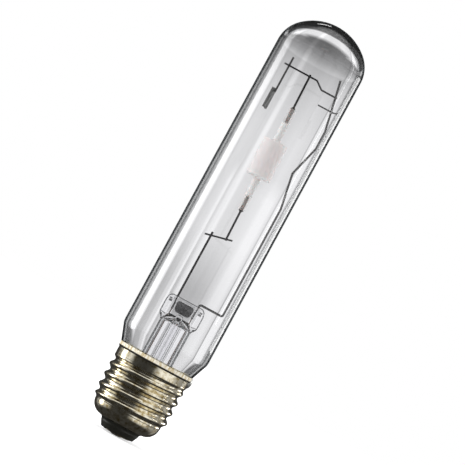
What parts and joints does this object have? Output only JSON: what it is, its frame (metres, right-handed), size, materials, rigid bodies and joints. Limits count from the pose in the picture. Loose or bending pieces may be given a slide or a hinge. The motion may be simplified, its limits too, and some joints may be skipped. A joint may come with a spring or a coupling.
{
  "type": "tubular light bulb",
  "caption": "Tubular clear-glass discharge lamp with a screw cap: a ceramic arc tube on a bent wire frame stands inside the blown outer bulb.",
  "frame": {"origin": "centre of the flat tip of the contact solder, on the lamp's axis, at the lamp's lowest point", "axes": "+Z along the lamp's axis from the contact to the crown of the bulb; +X towards the long frame wire; -Y towards the viewer of the picture"},
  "size_m": [0.0312, 0.0312, 0.1534],
  "materials": {
    "clear_glass": "clear blown borosilicate glass, fire-polished",
    "stem_glass": "clear pressed lead-free stem glass",
    "cap_brass": "rolled brass sheet, bright",
    "black_glass": "black cast insulating glass, glossy",
    "cap_cement": "pale basing cement, matt",
    "solder": "tin solder, dull grey",
    "copper_lead": "copper-coated lead wire",
    "nickel_wire": "drawn nickel-plated iron wire, darkened by welding",
    "niobium_wire": "drawn niobium wire, dark grey",
    "tungsten": "drawn tungsten, dark grey",
    "alumina": "sintered translucent alumina, satin",
    "frit": "melted sealing frit, brownish grey",
    "getter_steel": "nickel-plated steel strip",
    "getter_powder": "pressed metal powder, matt dark grey",
    "halide_salt": "solid metal-halide salt, yellow-brown"
  },
  "bodies": {
    "root": {"outer_bulb": "clear_glass", "cap_shell": "cap_brass", "cap_insulator": "black_glass", "cap_cement": "cap_cement", "contact_plate": "cap_brass", "contact_solder": "solder", "side_solder": "solder", "stem": "stem_glass", "exhaust_tube": "stem_glass", "centre_lead": "copper_lead", "side_lead": "copper_lead", "short_support_wire": "nickel_wire", "frame_wire": "nickel_wire", "lower_crossbar": "nickel_wire", "upper_crossbar": "nickel_wire", "wall_spring": "nickel_wire", "getter_wire": "nickel_wire", "getter_channel": "getter_steel", "getter_powder": "getter_powder", "arc_tube": "alumina", "halide_dose": "halide_salt", "lower_feed_wire": "niobium_wire", "upper_feed_wire": "niobium_wire", "lower_frit_seal": "frit", "upper_frit_seal": "frit", "lower_electrode": "tungsten", "upper_electrode": "tungsten", "lower_coil": "tungsten", "upper_coil": "tungsten"}
  },
  "joints": []
}
